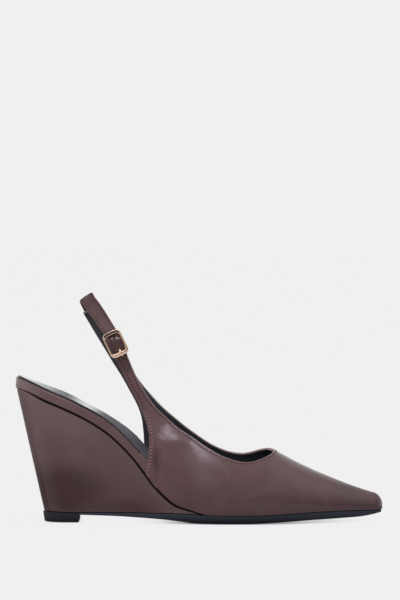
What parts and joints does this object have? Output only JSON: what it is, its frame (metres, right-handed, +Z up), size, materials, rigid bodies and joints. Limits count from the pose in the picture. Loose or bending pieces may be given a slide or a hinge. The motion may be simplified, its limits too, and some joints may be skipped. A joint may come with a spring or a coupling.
{
  "type": "wedge slingback pump",
  "caption": "Pointed-toe slingback pump in brown leather on a high covered wedge heel, with a back strap fastened by a small gold buckle.",
  "frame": {"origin": "on the floor, under the middle of the shoe's box", "axes": "+X to the toe, +Z up, +Y to the medial side, -Y to the lateral side with the buckle"},
  "size_m": [0.245, 0.0748, 0.1521],
  "materials": {
    "upper_leather": "smooth dark brown leather with a soft polish, black lining",
    "strap_leather": "smooth dark brown leather, edge stitched",
    "wedge_leather": "smooth dark brown leather stretched over the wedge",
    "band_leather": "smooth dark brown leather wrapped round the insole edge",
    "sock_lining": "dark grey smooth lining with a low sheen",
    "outsole_rubber": "matt near-black moulded sole",
    "top_piece_rubber": "matt black heel tip",
    "buckle_gold": "polished pale rose gold plating"
  },
  "bodies": {
    "root": {"upper": "upper_leather", "sling_strap": "strap_leather", "wedge_heel": "wedge_leather", "footbed": "band_leather", "insole_sock": "sock_lining", "outsole": "outsole_rubber", "top_piece": "top_piece_rubber", "buckle_frame": "buckle_gold", "buckle_prong": "buckle_gold"}
  },
  "joints": []
}
